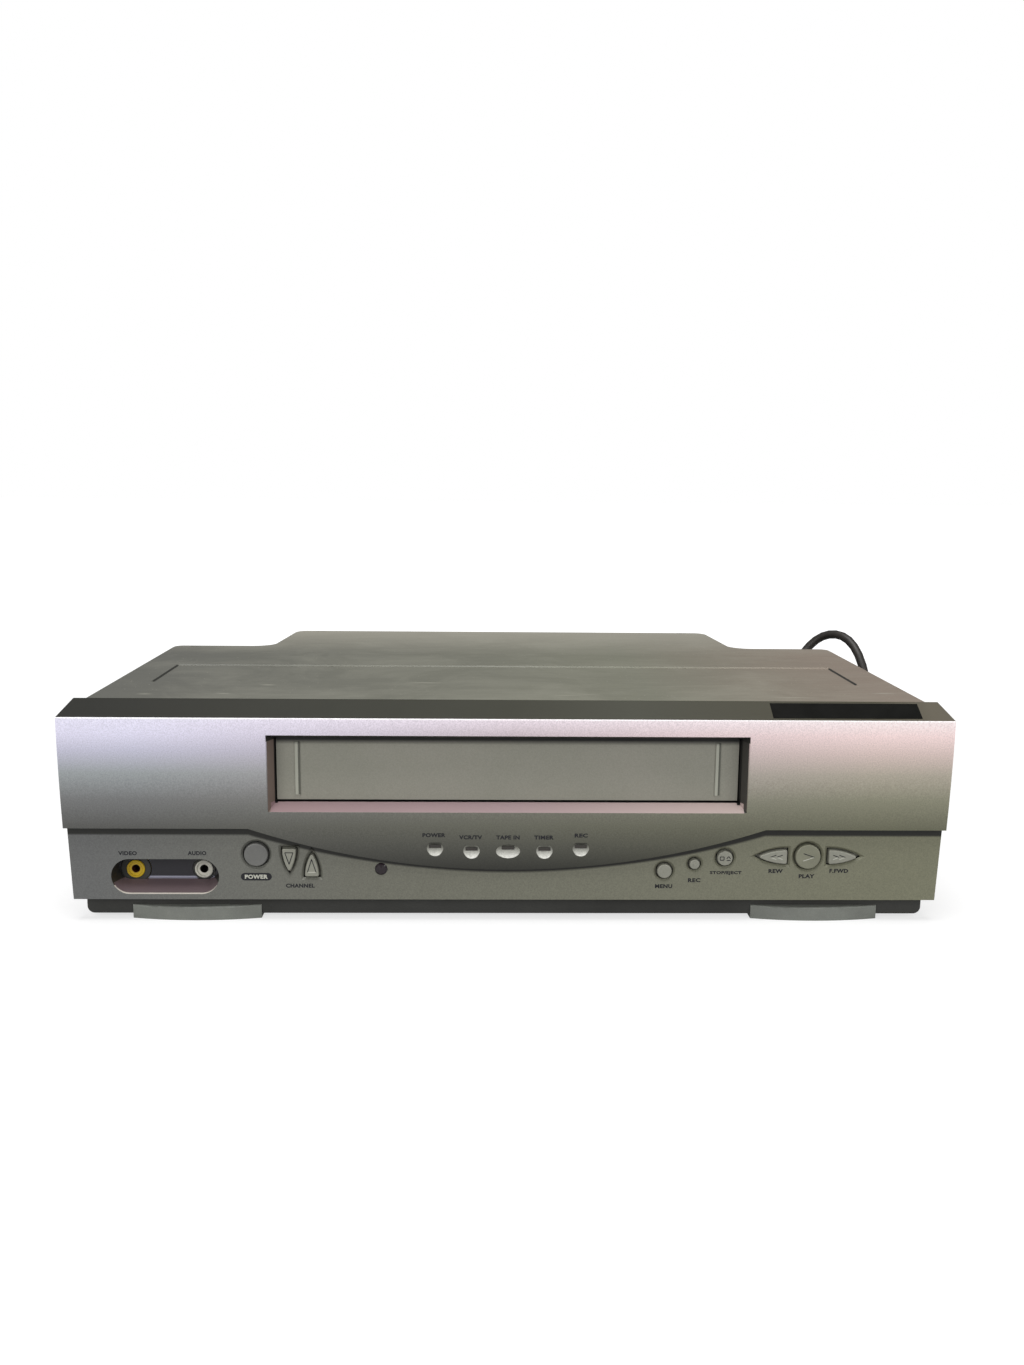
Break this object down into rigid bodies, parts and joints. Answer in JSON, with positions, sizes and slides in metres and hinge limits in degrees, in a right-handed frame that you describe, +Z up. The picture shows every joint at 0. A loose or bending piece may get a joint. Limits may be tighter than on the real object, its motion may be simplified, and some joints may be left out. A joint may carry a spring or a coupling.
{
  "type": "video cassette recorder",
  "caption": "Compact video cassette recorder with a front cassette flap, push buttons, sockets, a T-shaped steel cover and a full tape deck inside.",
  "frame": {"origin": "middle of the case's footprint, on the surface that the feet stand on, lead left out", "axes": "+X to the viewer's right, +Y to the rear, +Z up"},
  "size_m": [0.3857, 0.2706, 0.0964],
  "materials": {
    "silver_plastic": "satin silver paint",
    "button_plastic": "satin",
    "cover_paint": "fine satin paint",
    "dark_plastic": "fine texture",
    "foot_plastic": "satin silver paint",
    "yellow_plastic": "gloss",
    "white_plastic": "gloss",
    "smoked_plastic": "gloss, see-through when lit",
    "circuit_board": "paper laminate",
    "label": "thin blank film",
    "steel": "zinc plated",
    "polished_steel": "polished",
    "aluminium": "turned",
    "rubber": "matt",
    "nylon": "natural nylon",
    "flex": "matt flexible sleeve",
    "brass": "plain",
    "capacitor_sleeve": "shrunk sleeve"
  },
  "bodies": {
    "case": {"top_cover": "cover_paint", "cover_screws": "polished_steel", "front_panel": "silver_plastic", "indicator_lenses": "smoked_plastic", "sensor_lens": "smoked_plastic", "front_video_jack": "yellow_plastic", "front_audio_jack": "white_plastic", "front_jack_board": "circuit_board", "key_boards": "circuit_board", "indicator_board": "circuit_board", "chassis": "dark_plastic", "front_feet": "foot_plastic", "rear_feet": "rubber", "label_plate": "label", "main_board": "circuit_board", "transformer": "steel", "capacitors": "capacitor_sleeve", "heat_sink": "aluminium", "tuner_unit": "steel", "rear_av_jacks": "dark_plastic", "deck_plate": "steel", "deck_side_plates": "steel", "drive_belt": "rubber", "lower_drum": "aluminium", "capstan_motor": "circuit_board", "loading_motor": "steel", "erase_head": "polished_steel", "audio_control_head": "polished_steel", "guide_posts": "polished_steel", "strain_relief": "flex", "mains_cord": "flex", "cord_coil": "flex", "mains_plug": "flex", "plug_blades": "brass"},
    "door": {"cassette_door": "silver_plastic"},
    "sliders": {"holder_sliders": "nylon"},
    "holder": {"cassette_holder": "steel"},
    "supply_reel_body": {"supply_reel": "nylon"},
    "takeup_reel_body": {"takeup_reel": "nylon"},
    "clutch": {"clutch_pulley": "nylon"},
    "idler_arm_body": {"idler_arm": "steel"},
    "idler_wheel_body": {"idler_wheel": "rubber"},
    "drum": {"upper_drum": "aluminium"},
    "capstan_body": {"capstan": "polished_steel"},
    "pinch_arm_body": {"pinch_arm": "steel"},
    "pinch_roller_body": {"pinch_roller": "rubber"},
    "supply_guide_body": {"supply_guide": "aluminium"},
    "takeup_guide_body": {"takeup_guide": "aluminium"},
    "cam_body": {"cam_gear": "nylon"},
    "pinion_body": {"loading_pinion": "nylon"},
    "tension_arm_body": {"tension_arm": "steel"},
    "power_button_body": {"power_button": "button_plastic"},
    "menu_button_body": {"menu_button": "button_plastic"},
    "record_button_body": {"record_button": "button_plastic"},
    "stop_eject_button_body": {"stop_eject_button": "button_plastic"},
    "play_button_body": {"play_button": "button_plastic"},
    "rewind_button_body": {"rewind_button": "button_plastic"},
    "fast_forward_button_body": {"fast_forward_button": "button_plastic"},
    "channel_down_button_body": {"channel_down_button": "button_plastic"},
    "channel_up_button_body": {"channel_up_button": "button_plastic"}
  },
  "joints": [
    {"name": "door_hinge", "type": "hinge", "parent": "case", "child": "door", "pos_m": [0, -0.1051, 0.0786], "axis": [1, 0, 0], "range_deg": [0, 88], "stiffness_Nm_per_rad": 0.004},
    {"name": "power_press", "type": "slide", "parent": "case", "child": "power_button_body", "axis": [0, 1, 0], "range_m": [0, 0.0008], "stiffness_N_per_m": 400},
    {"name": "menu_press", "type": "slide", "parent": "case", "child": "menu_button_body", "axis": [0, 1, 0], "range_m": [0, 0.0008], "stiffness_N_per_m": 400},
    {"name": "record_press", "type": "slide", "parent": "case", "child": "record_button_body", "axis": [0, 1, 0], "range_m": [0, 0.0008], "stiffness_N_per_m": 400},
    {"name": "stop_eject_press", "type": "slide", "parent": "case", "child": "stop_eject_button_body", "axis": [0, 1, 0], "range_m": [0, 0.0008], "stiffness_N_per_m": 400},
    {"name": "play_press", "type": "slide", "parent": "case", "child": "play_button_body", "axis": [0, 1, 0], "range_m": [0, 0.0008], "stiffness_N_per_m": 400},
    {"name": "rewind_press", "type": "slide", "parent": "case", "child": "rewind_button_body", "axis": [0, 1, 0], "range_m": [0, 0.0008], "stiffness_N_per_m": 400},
    {"name": "fast_forward_press", "type": "slide", "parent": "case", "child": "fast_forward_button_body", "axis": [0, 1, 0], "range_m": [0, 0.0008], "stiffness_N_per_m": 400},
    {"name": "channel_down_press", "type": "slide", "parent": "case", "child": "channel_down_button_body", "axis": [0, 1, 0], "range_m": [0, 0.0008], "stiffness_N_per_m": 400},
    {"name": "channel_up_press", "type": "slide", "parent": "case", "child": "channel_up_button_body", "axis": [0, 1, 0], "range_m": [0, 0.0008], "stiffness_N_per_m": 400},
    {"name": "holder_slide", "type": "slide", "parent": "case", "child": "sliders", "axis": [0, 1, 0], "range_m": [0, 0.0595]},
    {"name": "holder_drop", "type": "slide", "parent": "sliders", "child": "holder", "axis": [0, 0, -1], "range_m": [0, 0.02]},
    {"name": "supply_reel_spin", "type": "hinge", "parent": "case", "child": "supply_reel_body", "pos_m": [-0.046, -0.033, 0.024], "axis": [0, 0, 1], "continuous": true},
    {"name": "takeup_reel_spin", "type": "hinge", "parent": "case", "child": "takeup_reel_body", "pos_m": [0.046, -0.033, 0.024], "axis": [0, 0, 1], "continuous": true},
    {"name": "clutch_spin", "type": "hinge", "parent": "case", "child": "clutch", "pos_m": [0, -0.015, 0.02], "axis": [0, 0, 1], "continuous": true},
    {"name": "idler_swing", "type": "hinge", "parent": "case", "child": "idler_arm_body", "pos_m": [0, -0.015, 0.0295], "axis": [0, 0, 1], "range_deg": [-31, 31]},
    {"name": "idler_spin", "type": "hinge", "parent": "idler_arm_body", "child": "idler_wheel_body", "pos_m": [0, -0.0322, 0.024], "axis": [0, 0, 1], "continuous": true},
    {"name": "drum_spin", "type": "hinge", "parent": "case", "child": "drum", "pos_m": [-0.006, 0.073, 0.0235], "axis": [0.0958, 0, 0.9954], "continuous": true},
    {"name": "capstan_spin", "type": "hinge", "parent": "case", "child": "capstan_body", "pos_m": [0.055, 0.029, 0.02], "axis": [0, 0, 1], "continuous": true},
    {"name": "pinch_swing", "type": "hinge", "parent": "case", "child": "pinch_arm_body", "pos_m": [0.081, 0.0415, 0.024], "axis": [0, 0, 1], "range_deg": [0, 63.5], "stiffness_Nm_per_rad": 0.01},
    {"name": "pinch_roller_spin", "type": "hinge", "parent": "pinch_arm_body", "child": "pinch_roller_body", "pos_m": [0.066, 0.05759, 0.03], "axis": [0, 0, 1], "continuous": true},
    {"name": "cam_turn", "type": "hinge", "parent": "case", "child": "cam_body", "pos_m": [0.062, 0.0835, 0.024], "axis": [0, 0, 1], "range_deg": [0, 170]},
    {"name": "pinion_spin", "type": "hinge", "parent": "case", "child": "pinion_body", "pos_m": [0.08497, 0.07604, 0.024], "axis": [0, 0, 1], "continuous": true},
    {"name": "supply_guide_swing", "type": "hinge", "parent": "case", "child": "supply_guide_body", "pos_m": [0.0031, 0.0614, 0.02], "axis": [0, 0, 1], "range_deg": [-59.6, 0]},
    {"name": "takeup_guide_swing", "type": "hinge", "parent": "case", "child": "takeup_guide_body", "pos_m": [-0.0144, 0.06, 0.019], "axis": [0, 0, 1], "range_deg": [0, 63.7]},
    {"name": "tension_swing", "type": "hinge", "parent": "case", "child": "tension_arm_body", "pos_m": [-0.086, 0.019, 0.024], "axis": [0, 0, 1], "range_deg": [-10, 12], "stiffness_Nm_per_rad": 0.01}
  ],
  "couplings": [
    {"joint": "clutch_spin", "follows": "capstan_spin", "ratio": 0.75},
    {"joint": "idler_spin", "follows": "capstan_spin", "ratio": -0.40909},
    {"joint": "pinion_spin", "follows": "cam_turn", "ratio": -4},
    {"joint": "supply_guide_swing", "follows": "cam_turn", "ratio": -0.3505},
    {"joint": "takeup_guide_swing", "follows": "cam_turn", "ratio": 0.3747}
  ]
}
